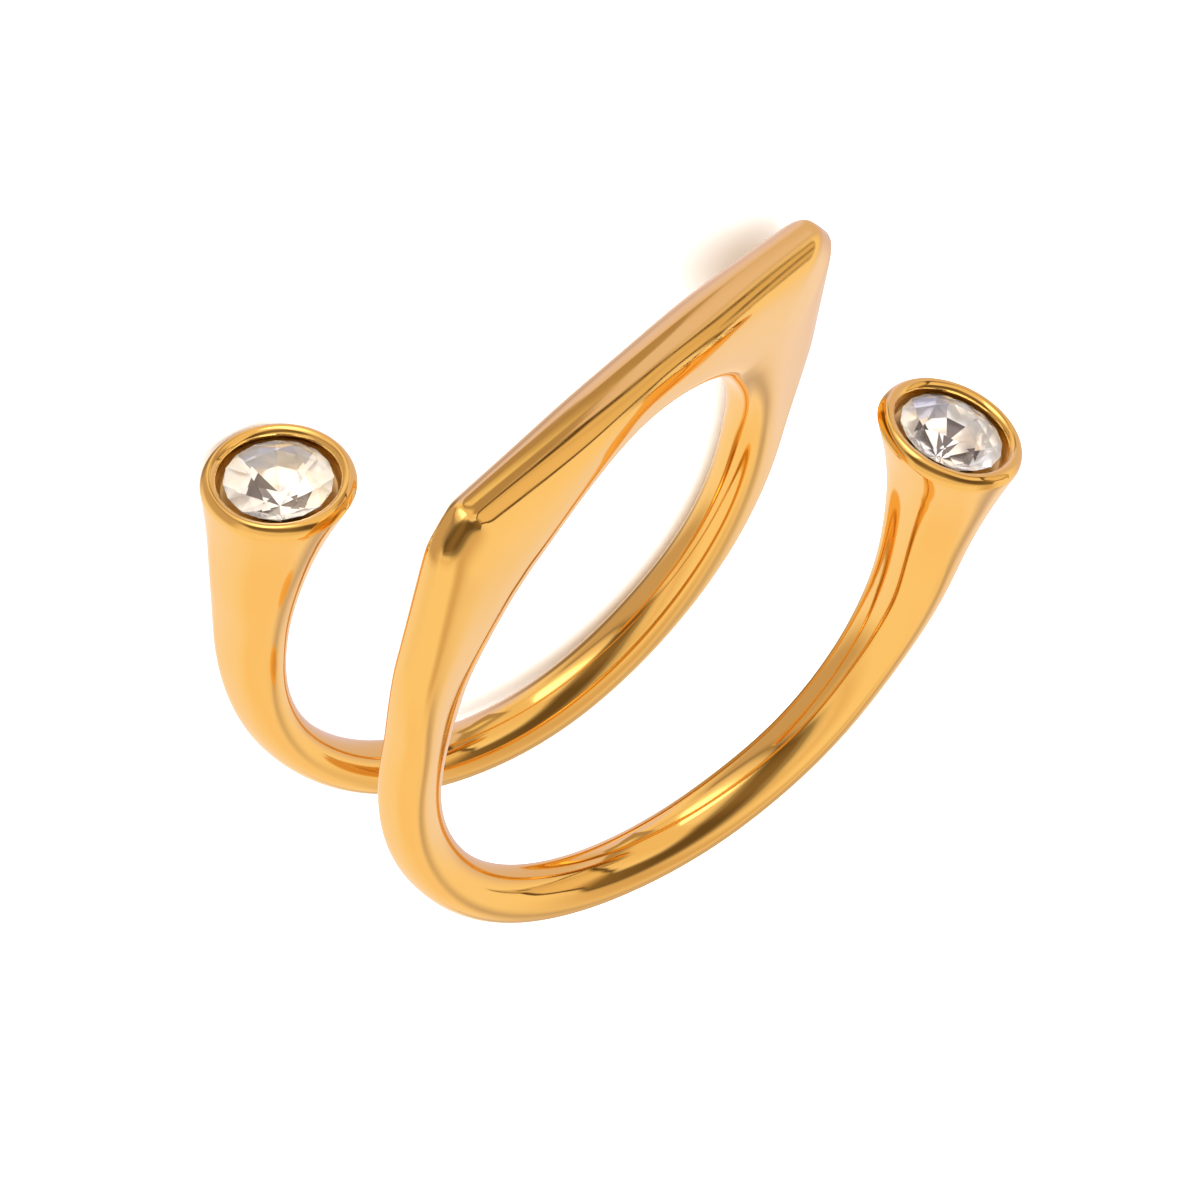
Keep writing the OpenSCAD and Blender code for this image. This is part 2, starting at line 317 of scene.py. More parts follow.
def loop_sections(wire, turn):
    """Sections of the loop. Each is three rows: middle, half depth and half width."""
    radians = np.radians(turn)
    nought = np.zeros_like(radians)
    out = np.stack([-np.sin(radians), nought, np.cos(radians)], 1)
    along = np.array([0.0, 1.0, 0.0])
    inside = soft_curve(HOLE, turn, LONG_REACH)
    outside = outer(wire, turn)[:, None]
    lean = np.radians(soft_curve(LEAN, turn, LONG_REACH))
    drift = soft_curve(DRIFT, turn, SHORT_REACH)
    half_width = soft_curve(HALF_WIDTH, turn, SHORT_REACH)
    middle = out * (inside + outside) / 2 + along * drift
    depth = (out * np.cos(lean) + along * np.sin(lean)) * (outside - inside) / 2
    width = (along * np.cos(lean) - out * np.sin(lean)) * half_width
    return np.stack([middle, depth, width], 1)


def cup_axes(cup):
    a, b = cup.lean_along, cup.lean_aside
    axis = unit(np.array([math.sin(a), -math.sin(b), math.cos(a) * math.cos(b)]))
    across = unit(np.array([1.0, 0.0, 0.0]) - axis[0] * axis)
    return axis, across, np.cross(axis, across)


def cup_top(cup):
    return np.array([cup.along, -cup.aside, cup.height]) / MM


def in_cup(cup, depth, r=0.0):
    """A round section of a cup, at a depth below the top of its lip."""
    axis, across, along = cup_axes(cup)
    return np.stack([cup_top(cup) - axis * depth, across * r, along * r])


def on_arm(cup, row):
    """A section of the arm. It lies level at the finger's middle and leans like the cup at its top."""
    share, x, y, depth, width = row
    across, along = cup_axes(cup)[1:]
    across = np.array([1.0, 0.0, 0.0]) * (1 - share) + across * share
    along = np.array([0.0, 1.0, 0.0]) * (1 - share) + along * share
    return np.stack([np.array([x, y, cup.height / MM * share]), across * depth, along * width])


def arm_sections(wire, cup, steps=56):
    """Sections from the end of the loop to the widest part of the cup's lip."""
    start = loop_sections(wire, LOOP_END + LEAD_STEP * np.arange(-2, 1))
    lip = in_cup(cup, cup.lip_drop / MM, cup.rim_d / MM / 2)
    rows = [*start, *(on_arm(cup, row) for row in ARM), lip]
    runs = [0.0]
    for before, after in zip(rows, rows[1:]):
        runs.append(runs[-1] + np.linalg.norm(after[0] - before[0]))
    table = [(run, *row.ravel()) for run, row in zip(runs, rows)]
    share = np.arange(1, steps + 1) / steps
    places = runs[2] + (runs[-1] - runs[2]) * share
    return curve(table, places).reshape(-1, 3, 3), share


def lip_and_well(cup, stone):
    """Depth and radius of each ring from the lip over its top, down the wall and to the seat."""
    rim_r = cup.rim_d / MM / 2
    lip_r = cup.lip_w / MM / 2
    drop = cup.lip_drop / MM
    rings = []
    for a in np.radians(np.arange(6, 90, 6)):
        up, over = math.sin(a) ** LIP_BEVEL, math.cos(a) ** LIP_BEVEL
        rings.append((drop * (1 - up), rim_r - lip_r * (1 - over)))
    for a in np.radians(np.arange(90, 181, 10)):
        rings.append((lip_r * (1 - math.sin(a)), rim_r - lip_r * (1 - math.cos(a))))
    wall_r = rim_r - 2 * lip_r
    floor_r = cup.well_floor_d / MM / 2
    depth = cup.well_depth / MM
    for share in WALL_SHARES:
        rings.append((lip_r + (depth - lip_r) * share, wall_r + (floor_r - wall_r) * share))
    for a in np.radians((0, 30, 60, 90)):
        up, over = WELL_FILLET * (1 - math.sin(a)), WELL_FILLET * (1 - math.cos(a))
        rings.append((depth - up, floor_r - over))
    slope = math.atan2(stone.pavilion_h, stone.diameter / 2)
    under = depth - (stone.sink + stone.girdle_h) / MM
    gap = stone.seat_gap / MM / math.sin(slope)
    shelf_r = stone.diameter / MM / 2 - under / math.tan(slope) + gap
    return rings + [(depth + below, shelf_r + outside) for below, outside in SHELF_EDGE]


def half_wire(wire, cup, stone):
    """Sections, squareness, taper and share of the cup wall's paler gold, painted lighter against the
    shade of the well, from the bar's middle to the right pit.
    """
    start, end = CORNER_TURNS
    corner = np.arange(start, end, CORNER_STEP)
    turns = [np.arange(0, start, TURN_STEP), corner, np.arange(end, LOOP_END, TURN_STEP)]
    turn = np.concatenate(turns)
    arm, share = arm_sections(wire, cup)
    sections = np.concatenate([loop_sections(wire, turn), arm])
    turn_or_end = np.concatenate([turn, np.full(len(arm), float(LOOP_END))])
    sections = evened(sections, BAR_EVEN + (LOOP_EVEN - BAR_EVEN) * eased(*EVEN_TURNS, turn_or_end))
    rings = lip_and_well(cup, stone)
    stone_depth = stone.sink + stone.girdle_h + stone.pavilion_h
    pit_depth = (stone_depth + PIT_GAPS * stone.seat_gap) / MM
    lips = [in_cup(cup, depth, r) for depth, r in rings] + [in_cup(cup, pit_depth)]
    sections = np.concatenate([sections, np.stack(lips)])
    loop_square = soft_curve(SQUARE, turn, SHORT_REACH)[:, 0]
    arm_square = SQUARE[-1][1] * (1 - share) + 2 * share
    square = np.concatenate([loop_square, arm_square, np.full(len(lips), 2.0)])
    plain = np.zeros(len(arm) + len(lips))
    taper = np.concatenate([soft_curve(TAPER, turn, SHORT_REACH)[:, 0], plain])
    depths = np.array([depth for depth, _ in rings] + [pit_depth])
    lip_r = cup.lip_w / MM / 2
    past_top = np.arange(len(lips)) > np.argmin(depths)
    cup_painted_light_gold = past_top * eased(lip_r, lip_r + CUP_FADE, depths)
    return sections, square, taper, np.concatenate([np.zeros(len(turn) + len(arm)), cup_painted_light_gold])


def evened(sections, reach):
    """Evens out curvature along the wire, over a reach of its own at each section."""
    tiny = 1e-6
    middle = sections[:, 0]
    run = np.concatenate([[0], np.cumsum(np.linalg.norm(np.diff(middle, axis=0), axis=1))])
    weight = np.gradient(run)
    room = np.minimum(run, run[-1] - run)
    result = sections.copy()
    for i in range(1, len(sections) - 1):
        width = min(reach[i], room[i] / 3)
        if width < tiny:
            continue
        share = weight * np.exp(-((run - run[i]) / width) ** 2 / 2)
        near = share > tiny
        share = share[near] / share[near].sum()
        result[i] = (sections[near] * share[:, None, None]).sum(0)
    return result


def whole_wire(wire, cup, stone):
    """The half wire and its half turn about Z, from the pit of one cup to the pit of the other."""
    half, *values = half_wire(wire, cup, stone)
    turned = half * HALF_TURN
    turned[:, 2] *= -1
    return [np.concatenate([turned[:0:-1], half])] + [np.concatenate([v[:0:-1], v]) for v in values]


def rest_matrix(rest):
    """Turns the worn ring about its upright and lays it on its side."""
    turned = Matrix.Rotation(rest.turn, 3, "Z")
    return np.array(Matrix.Rotation(-(math.pi / 2 + rest.tip), 3, "X") @ turned)


def laid_down(rest, points):
    """Points of the worn ring in millimetres, as points of the ring at rest in metres."""
    return np.asarray(points) @ rest_matrix(rest).T * MM + np.array(WORN_CENTRE)


# Node trees

# Distance under which the points of the wire and of a stone are one point, in metres
WIRE_WELD = 1e-6
STONE_WELD = 2e-6


def fill(tree, socket, value):
    """Gives a node's input a value or a colour, or links another node's output to it."""
    if isinstance(value, bpy.types.NodeSocket):
        tree.links.new(value, socket)
    elif socket.type == "RGBA":
        socket.default_value = (*value, 1)
    else:
        socket.default_value = value


def node(tree, kind, inputs=None, **settings):
    made = tree.nodes.new(kind)
    for key, value in settings.items():
        setattr(made, key, value)
    for label, value in (inputs or {}).items():
        fill(tree, made.inputs[label], value)
    return made


def maths(tree, operation, *values):
    made = node(tree, "ShaderNodeMath", dict(enumerate(values)), operation=operation)
    return made.outputs[0]


def vector_maths(tree, operation, inputs):
    return node(tree, "ShaderNodeVectorMath", inputs, operation=operation).outputs


def scaled(tree, vector, factor):
    return vector_maths(tree, "SCALE", {0: vector, "Scale": factor})[0]


def blended(tree, factor, a, b, kind="RGBA"):
    made = node(tree, "ShaderNodeMix", {"Factor": factor, "A": a, "B": b}, data_type=kind)
    return made.outputs["Result"]


def stepped(tree, value, low, high):
    """Rises smoothly from 0 to 1 while a value goes from low to high."""
    inputs = {"Value": value, "From Min": low, "From Max": high}
    made = node(tree, "ShaderNodeMapRange", inputs, interpolation_type="SMOOTHSTEP")
    return made.outputs["Result"]


def ranged(tree, value, span, result):
    """A value, with the two ends of its span moved to the two ends of the result."""
    limits = dict(zip(("From Min", "From Max", "To Min", "To Max"), (*span, *result)))
    return node(tree, "ShaderNodeMapRange", {"Value": value, **limits}).outputs["Result"]


def named_attribute(tree, label, kind):
    made = node(tree, "GeometryNodeInputNamedAttribute", {"Name": label}, data_type=kind)
    return made.outputs["Attribute"]


def stored(tree, label, value, domain):
    """Keeps a number at each point or on each face, where the materials read it."""
    return node(
        tree,
        "GeometryNodeStoreNamedAttribute",
        {"Name": label, "Value": value},
        data_type="FLOAT",
        domain=domain,
    )


def chained(tree, *nodes):
    """Hands the geometry of each node on to the next one."""
    for before, after in zip(nodes, nodes[1:]):
        tree.links.new(before.outputs[0], after.inputs[0])


def new_geometry_tree(name, inputs):
    tree = bpy.data.node_groups.new(name, "GeometryNodeTree")
    for label, kind in {"Geometry": "NodeSocketGeometry", **inputs}.items():
        tree.interface.new_socket(label, in_out="INPUT", socket_type=kind)
    tree.interface.new_socket("Geometry", in_out="OUTPUT", socket_type="NodeSocketGeometry")
    return tree, node(tree, "NodeGroupInput").outputs, node(tree, "NodeGroupOutput")


def socket_id(tree, label):
    for item in tree.interface.items_tree:
        if item.in_out == "INPUT" and item.name == label:
            return item.identifier
    raise ValueError(f"the node tree has no input named {label}")


def swept_section_tree():
    """Lays a rounded section at every station of a spine and joins them into one closed skin."""
    tree, given, result = new_geometry_tree(
        "Swept section",
        {"Sides": "NodeSocketInt", "Metal": "NodeSocketMaterial"},
    )
    spine, sides = given["Geometry"], given["Sides"]
    stations = node(tree, "GeometryNodeAttributeDomainSize", {0: spine}, component="MESH")
    columns = maths(tree, "ADD", sides, 1)
    counts = {"Vertices X": stations.outputs["Point Count"], "Vertices Y": columns}
    grid = node(tree, "GeometryNodeMeshGrid", counts)
    index = node(tree, "GeometryNodeInputIndex").outputs[0]
    station = maths(tree, "FLOOR", maths(tree, "DIVIDE", maths(tree, "ADD", index, 0.5), columns))
    side = maths(tree, "SUBTRACT", index, maths(tree, "MULTIPLY", station, columns))
    turn = maths(tree, "DIVIDE", maths(tree, "MULTIPLY", side, 2 * math.pi), sides)

    def sampled(value, kind):
        picked = node(
            tree,
            "GeometryNodeSampleIndex",
            {"Geometry": spine, "Index": station, "Value": value},
            data_type=kind,
            domain="POINT",
            clamp=True,
        )
        return picked.outputs["Value"]

    def attribute(label, kind="FLOAT"):
        return sampled(named_attribute(tree, label, kind), kind)

    def added(a, b):
        return vector_maths(tree, "ADD", {0: a, 1: b})[0]

    square = attribute("squareness")
    cos = maths(tree, "COSINE", turn)
    sin = maths(tree, "SINE", turn)
    powers = [maths(tree, "POWER", maths(tree, "ABSOLUTE", part), square) for part in (cos, sin)]
    root = maths(tree, "DIVIDE", -1.0, square)
    reach = maths(tree, "POWER", maths(tree, "ADD", *powers), root)
    deep = maths(tree, "MULTIPLY", cos, reach)
    tapered = maths(tree, "MULTIPLY_ADD", attribute("taper"), deep, 1.0)
    wide = maths(tree, "MULTIPLY", maths(tree, "MULTIPLY", sin, reach), tapered)
    middle = sampled(node(tree, "GeometryNodeInputPosition").outputs[0], "FLOAT_VECTOR")
    depth = scaled(tree, attribute("half_depth", "FLOAT_VECTOR"), deep)
    width = scaled(tree, attribute("half_width", "FLOAT_VECTOR"), wide)
    place = added(middle, added(depth, width))
    chained(
        tree,
        grid,
        node(tree, "GeometryNodeSetPosition", {"Position": place}),
        stored(tree, "inside_cup", attribute("inside_cup"), "POINT"),
        node(tree, "GeometryNodeMergeByDistance", {"Distance": WIRE_WELD}),
        node(tree, "GeometryNodeFlipFaces"),
        node(tree, "GeometryNodeSetShadeSmooth"),
        node(tree, "GeometryNodeRealizeInstances"),
        node(tree, "GeometryNodeSetMaterial", {"Material": given["Metal"]}),
        result,
    )
    return tree


def eightfold_stone_tree():
    """Turns one eighth of a brilliant about its axis eight times and gives it glass and foil."""
    tree, given, result = new_geometry_tree(
        "Eightfold stone",
        {
            "Repeats": "NodeSocketInt",
            "Centre": "NodeSocketVector",
            "Tilt": "NodeSocketRotation",
            "Glass": "NodeSocketMaterial",
            "Foil": "NodeSocketMaterial",
            "Seed": "NodeSocketInt",
        },
    )
    wedge = given["Geometry"]
    index = node(tree, "GeometryNodeInputIndex").outputs[0]
    turn = maths(tree, "DIVIDE", maths(tree, "MULTIPLY", index, 2 * math.pi), given["Repeats"])
    spin = node(tree, "ShaderNodeCombineXYZ", {"Z": turn}).outputs[0]
    rotation = node(tree, "FunctionNodeEulerToRotation", {0: spin}).outputs[0]
    behind = named_attribute(tree, "behind", "BOOLEAN")
    seeded = {"ID": index, "Seed": given["Seed"]}
    # A random tone for each facet, which the glass and the foil turn into painted reflections and
    # painted shade
    chance = node(tree, "FunctionNodeRandomValue", seeded, data_type="FLOAT")
    tone = [output for output in chance.outputs if output.enabled][0]
    chained(
        tree,
        node(tree, "GeometryNodePoints", {"Count": given["Repeats"]}),
        node(tree, "GeometryNodeInstanceOnPoints", {"Instance": wedge, "Rotation": rotation}),
        node(tree, "GeometryNodeRealizeInstances"),
        node(tree, "GeometryNodeTransform", {"Translation": given["Centre"], "Rotation": given["Tilt"]}),
        node(tree, "GeometryNodeMergeByDistance", {"Distance": STONE_WELD}),
        node(tree, "GeometryNodeSetMaterial", {"Material": given["Glass"]}),
        node(tree, "GeometryNodeSetMaterial", {"Selection": behind, "Material": given["Foil"]}),
        stored(tree, "tone", tone, "FACE"),
        result,
    )
    return tree


def made_plain(name, start, tree, inputs):
    """Runs a node tree on a mesh and returns the result as an object with a plain mesh."""
    carrier = bpy.data.objects.new(name + "_start", start)
    bpy.context.scene.collection.objects.link(carrier)
    modifier = carrier.modifiers.new(tree.name, "NODES")
    modifier.node_group = tree
    for label, value in inputs.items():
        modifier[socket_id(tree, label)] = value
    bpy.context.view_layer.update()
    done = carrier.evaluated_get(bpy.context.evaluated_depsgraph_get())
    mesh = bpy.data.meshes.new_from_object(done)
    carrier.modifiers.remove(modifier)
    bpy.data.objects.remove(carrier)
    mesh.name = name
    piece = bpy.data.objects.new(name, mesh)
    bpy.context.scene.collection.objects.link(piece)
    if len(mesh.polygons) == 0:
        raise RuntimeError(f"{name} came out empty")
    return piece


# Materials

# Scale, in waves per metre, and detail of each noise
TONE_NOISE = (260, 3)
POLISH_NOISE = (900, 4)
WAVE_NOISE = (330, 1)
MARK_NOISE = (16000, 3)
FOIL_NOISE = (1500, 2)
# The usual lowest and highest value of the polish's noise
NOISE_SPAN = (0.3, 0.7)
# How much smoother and rougher than the usual polish the metal is in places
POLISH_SPAN = (0.7, 1.4)
# How much darker and lighter the foil is in places
FOIL_SPAN = (0.86, 1.04)
# Share of the facets before each tone of the glass and of the foil, the tones being painted reflections
# and painted shade
GLASS_STEPS = (0.0, 0.6, 0.85)
FOIL_STEPS = (0.0, 0.55, 0.7, 0.85)


def new_material(name):
    material = bpy.data.materials.new(name)
    material.use_nodes = True
    material.node_tree.nodes.clear()
    return material, material.node_tree


def surfaced(tree, inputs):
    """Ends a material in one shader with these inputs."""
    shader = node(tree, "ShaderNodeBsdfPrincipled", inputs)
    node(tree, "ShaderNodeOutputMaterial", {"Surface": shader.outputs[0]})


def noise(tree, scale, detail):
    place = node(tree, "ShaderNodeTexCoord").outputs["Object"]
    made = node(tree, "ShaderNodeTexNoise", {"Vector": place, "Scale": scale, "Detail": detail})
    return made.outputs["Fac"]


def polished_gold(look):
    """Warm gold plating: slightly uneven colour and polish, soft waves left by buffing, and a paler gold
    painted inside the cups as painted light that lifts the shade of the well.
    """
    material, tree = new_material("Polished gold")
    cup = node(tree, "ShaderNodeAttribute", attribute_name="inside_cup").outputs["Fac"]
    tone = blended(tree, noise(tree, *TONE_NOISE), look.warm, look.pale)
    polishes = [look.roughness * share for share in POLISH_SPAN]
    polish = ranged(tree, noise(tree, *POLISH_NOISE), NOISE_SPAN, polishes)
    waves = maths(tree, "MULTIPLY", noise(tree, *WAVE_NOISE), look.wave_height)
    marks = maths(tree, "MULTIPLY", noise(tree, *MARK_NOISE), look.mark_height)
    height = maths(tree, "ADD", waves, marks)
    bump = node(tree, "ShaderNodeBump", {"Distance": 1.0, "Height": height})
    surfaced(
        tree,
        {
            # Painted light inside the cups: the paler gold lifts the shade of the well, while the
            # rougher polish there is the wall's own
            "Base Color": blended(tree, cup, tone, look.cup_painted_light_gold),
            "Metallic": 1.0,
            "Roughness": blended(tree, cup, polish, look.cup_roughness, "FLOAT"),
            "Normal": bump.outputs[0],
        },
    )
    return material


def painted_facet_light(tree, steps, colours):
    """A colour that changes from facet to facet, with the share of facets before each colour: painted
    reflections and painted shade that stand in for the light on each facet.
    """
    own = node(tree, "ShaderNodeAttribute", attribute_name="tone").outputs["Fac"]
    tones = node(tree, "ShaderNodeValToRGB", {"Fac": own})
    tones.color_ramp.interpolation = "CONSTANT"
    for place in steps[2:]:
        tones.color_ramp.elements.new(place)
    for element, place, value in zip(tones.color_ramp.elements, steps, colours):
        element.position = place
        element.color = (*value, 1)
    return tones.outputs["Color"]


def clear_glass(look):
    """Clear crystal, with a painted cream reflection on some facets and painted grey shade on others."""
    material, tree = new_material("Clear crystal")
    colours = (look.clear, look.clear_painted_reflection, look.clear_painted_shade)
    surfaced(
        tree,
        {
            "Base Color": painted_facet_light(tree, GLASS_STEPS, colours),
            "Roughness": 0.0,
            "IOR": look.ior,
            "Transmission Weight": 1.0,
        },
    )
    return material


def silver_foil(look):
    """The silvery backing of the stones, with a painted tone on each facet: cream painted reflections of
    the cup, and grey and dark painted shade.
    """
    material, tree = new_material("Silver foil")
    colours = (look.foil, look.foil_painted_reflection, look.foil_painted_shade, look.foil_painted_deep_shade)
    uneven = ranged(tree, noise(tree, *FOIL_NOISE), (0.0, 1.0), FOIL_SPAN)
    facets = painted_facet_light(tree, FOIL_STEPS, colours)
    surfaced(
        tree,
        {
            "Base Color": scaled(tree, facets, uneven),
            "Metallic": look.foil_metal,
            "Roughness": look.foil_rough,
        },
    )
    return material


# The light tent. Directions are an azimuth and an elevation in degrees round the worn ring, with
# azimuth 0 towards the finger's tip and -58 towards the camera.
TENT_WHITE = (1.03, 0.9, 0.8)
# Middle, half size, softness, tilt and colour of each patch that differs from the white
TENT = [
    ((-30, -64), (60, 14), 14, 0, (1.02, 0.85, 0.71)),
    ((-145, -45), (35, 25), 16, 0, (1.03, 0.95, 1.02)),
    ((70, 70), (95, 24), 14, 0, (0.93, 0.76, 0.60)),
    ((-146, 14), (42, 32), 12, 0, (0.62, 0.49, 0.44)),
    ((-45, 4), (55, 8), 14, 0, (0.86, 0.69, 0.55)),
    ((100, 5), (34, 48), 12, 0, (0.78, 0.66, 0.78)),
    ((104, 45), (20, 7), 5, 0, (0.85, 0.75, 1.03)),
    ((142, 10), (14, 26), 8, 0, (0.86, 0.80, 1.4)),
    ((160, -12), (14, 22), 12, 0, (0.30, 0.23, 0.19)),
    ((16, -20), (12, 20), 12, 0, (0.74, 0.57, 0.45)),
    ((64, -57), (38, 8), 9, -22, (0.64, 0.54, 0.54)),
    ((70, -39), (16, 9), 8, 0, (0.98, 0.91, 1.05)),
    ((-145, 76), (45, 14), 9, 0, (2.6, 2.4, 2.3)),
]
# A brown screen over the bar: azimuth, elevation of its lower edge
SCREEN = [(-180, 90), (46, 90), (50, 47), (62, 49), (75, 52), (92, 52), (110, 49), (118, 45),
          (124, 36), (132, 37), (144, 25), (145, 90), (180, 90)]
# Elevation of its upper edge, and how soft the upper and the lower edge are
SCREEN_TOP = 62
SCREEN_TOP_SOFT = 6
SCREEN_SOFT = 0.8
SCREEN_COLOUR = (0.48, 0.36, 0.29)
# A pale lamp behind the screen: middle, half size, softness, tilt and colour
LAMP = ((127, 49.5), (9, 3.5), 4, 0, (0.98, 0.86, 0.66))
# A small dark gap near the end of the opening
GAP = ((51.2, 0), (0.5, 4), 0.5, 0, (0.05, 0.03, 0.02))
# Hue inside the opening, where it is darkest and where it is lightest
OPENING_DARK = (1.0, 0.66, 0.36)
OPENING_LIGHT = (1.0, 0.82, 0.66)
# The tent's dark opening: azimuth, its lower edge, its upper edge, softness, brightness
OPENING = [
    (-180, 40, 40, 9, 0.05),
    (-118, 40, 40, 9, 0.05),
    (-90, 21, 59, 12, 0.2),
    (-66, 23, 63, 13, 0.25),
    (-42, 22, 62, 13, 0.25),
    (-18, 13, 57, 12, 0.15),
    (6, 2, 36, 10, 0.15),
    (24, -6, 28, 6, 0.25),
    (28, 4, 37, 3, 0.5),
    (34, 2, 40, 1, 0.9),
    (41, -5, 45, 1, 0.9),
    (48, -6, 47, 1, 0.85),
    (52, -20, 47, 1, 0.75),
    (54, 10, 48, 1, 0.8),
    (58, 24, 48, 1, 0.85),
    (68, 40, 50, 1, 0.8),
    (86, 52, 52, 1, 0.7),
    (180, 55, 55, 3, 0.6),
]
# The most that each column of the opening's table, and the screen's, can hold
OPENING_LIMITS = (90, 90, 20, 1)
SCREEN_LIMIT = 90
# How much darker the opening is along its hem, and how many degrees the hem is wide
HEM_DARK = 0.92
HEM_WIDE = 4.5
PATCH_INPUTS = ("Azimuth", "Elevation", "Centre azimuth", "Centre elevation", "Half azimuth",
                "Half elevation", "Soft", "Tilt")

# Share of the white room in the light that comes through the glass
ROOM_THROUGH_GLASS = 0.85
# The lamp overhead: diameter and place in metres, power in watts, tilt in degrees
OVERHEAD_WIDTH = 1.2
OVERHEAD_PLACE = (-0.1, 0.05, 0.6)
OVERHEAD_POWER = 9.0
OVERHEAD_TILT = -10
# Half the width of the floor, in metres, and its roughness
FLOOR_HALF = 1.5
FLOOR_ROUGHNESS = 0.7


def worn_direction(tree, turned):
    """Azimuth and elevation, in degrees round the worn ring, of the direction that is looked up."""
    looked = node(tree, "ShaderNodeTexCoord").outputs["Generated"]
    x, y, z = (
        vector_maths(tree, "DOT_PRODUCT", {0: looked, 1: tuple(axis)})["Value"]
        for axis in turned.T
    )
    azimuth = maths(tree, "ARCTAN2", x, maths(tree, "MULTIPLY", y, -1.0))
    elevation = maths(tree, "ARCSINE", z)
    return maths(tree, "DEGREES", azimuth), maths(tree, "DEGREES", elevation)


def soft_patch_group():
    """A soft-edged patch of the light tent, as a mask over azimuth and elevation."""
    tree = bpy.data.node_groups.new("Soft patch", "ShaderNodeTree")
    for label in PATCH_INPUTS:
        tree.interface.new_socket(label, in_out="INPUT", socket_type="NodeSocketFloat")
    tree.interface.new_socket("Mask", in_out="OUTPUT", socket_type="NodeSocketFloat")
    given = node(tree, "NodeGroupInput").outputs
    apart = maths(tree, "SUBTRACT", given["Azimuth"], given["Centre azimuth"])
    across = maths(tree, "WRAP", apart, 180.0, -180.0)
    up = maths(tree, "SUBTRACT", given["Elevation"], given["Centre elevation"])
    tilt = maths(tree, "RADIANS", given["Tilt"])
    cos, sin = maths(tree, "COSINE", tilt), maths(tree, "SINE", tilt)
    up_sin = maths(tree, "MULTIPLY", up, sin)
    up_cos = maths(tree, "MULTIPLY", up, cos)
    along = maths(tree, "ADD", maths(tree, "MULTIPLY", across, cos), up_sin)
    over = maths(tree, "SUBTRACT", up_cos, maths(tree, "MULTIPLY", across, sin))
    inner = maths(tree, "MULTIPLY", given["Soft"], -1.0)
    masks = []
    for away, half in ((along, given["Half azimuth"]), (over, given["Half elevation"])):
        beyond = maths(tree, "SUBTRACT", maths(tree, "ABSOLUTE", away), half)
        masks.append(stepped(tree, beyond, given["Soft"], inner))
    node(tree, "NodeGroupOutput", {"Mask": maths(tree, "MULTIPLY", *masks)})
    return tree


def patched(tree, direction, group, shade, row):
    """Lays one patch of the tent over what lies under it."""
    centre, half, soft, tilt, patch_colour = row
    inputs = dict(zip(PATCH_INPUTS, (*direction, *centre, *half, soft, tilt)))
    mask = node(tree, "ShaderNodeGroup", inputs, node_tree=group).outputs["Mask"]
    return blended(tree, mask, shade, patch_colour)


def followed(tree, azimuth, table, column, limit):
    """A value of the tent that follows the azimuth, from a column of a table."""
    across = maths(tree, "DIVIDE", maths(tree, "ADD", azimuth, 180.0), 360.0)
    made = node(tree, "ShaderNodeFloatCurve", {"Value": across})
    line = made.mapping.curves[0]
    places = [((row[0] + 180) / 360, (row[column] / limit + 1) / 2) for row in table]
    line.points[0].location = places[0]
    line.points[1].location = places[-1]
    for place in places[1:-1]:
        line.points.new(*place)
    for point in line.points:
        point.handle_type = "VECTOR"
    made.mapping.update()
    return maths(tree, "MULTIPLY_ADD", made.outputs["Value"], 2.0 * limit, -float(limit))


def brown_screen(tree, azimuth, elevation):
    """How much of the brown screen over the bar lies in a direction."""
    edge = followed(tree, azimuth, SCREEN, 1, SCREEN_LIMIT)
    over = maths(tree, "SUBTRACT", elevation, edge)
    top = SCREEN_TOP_SOFT
    below = stepped(tree, elevation, SCREEN_TOP + top, SCREEN_TOP - top)
    return maths(tree, "MULTIPLY", stepped(tree, over, -SCREEN_SOFT, SCREEN_SOFT), below)


def dark_opening(tree, azimuth, elevation):
    """How much of the tent's dark opening lies in a direction, and how bright it is there."""
    low, high, soft, brightness = (
        followed(tree, azimuth, OPENING, column, limit)
        for column, limit in enumerate(OPENING_LIMITS, 1)
    )
    middle = maths(tree, "MULTIPLY", maths(tree, "ADD", low, high), 0.5)
    half = maths(tree, "MULTIPLY", maths(tree, "SUBTRACT", high, low), 0.5)
    away = maths(tree, "ABSOLUTE", maths(tree, "SUBTRACT", elevation, middle))
    beyond = maths(tree, "SUBTRACT", away, half)
    mask = stepped(tree, beyond, soft, maths(tree, "MULTIPLY", soft, -1.0))
    from_hem = maths(tree, "ABSOLUTE", maths(tree, "ADD", beyond, HEM_WIDE / 2))
    hem = stepped(tree, from_hem, HEM_WIDE, 0.0)
    darker = maths(tree, "MULTIPLY_ADD", hem, -HEM_DARK, 1.0)
    return mask, maths(tree, "MULTIPLY", brightness, darker)


def tent_colour(tree, direction):
    """What the tent shows in a direction: its patches, the screen, the lamp and the opening."""
    group = soft_patch_group()
    shade = TENT_WHITE
    for row in TENT:
        shade = patched(tree, direction, group, shade, row)
    shade = blended(tree, brown_screen(tree, *direction), shade, SCREEN_COLOUR)
    shade = patched(tree, direction, group, shade, LAMP)
    mask, brightness = dark_opening(tree, *direction)
    hue = blended(tree, brightness, OPENING_DARK, OPENING_LIGHT)
    shade = blended(tree, mask, shade, scaled(tree, hue, brightness))
    return patched(tree, direction, group, shade, GAP)


# Operators

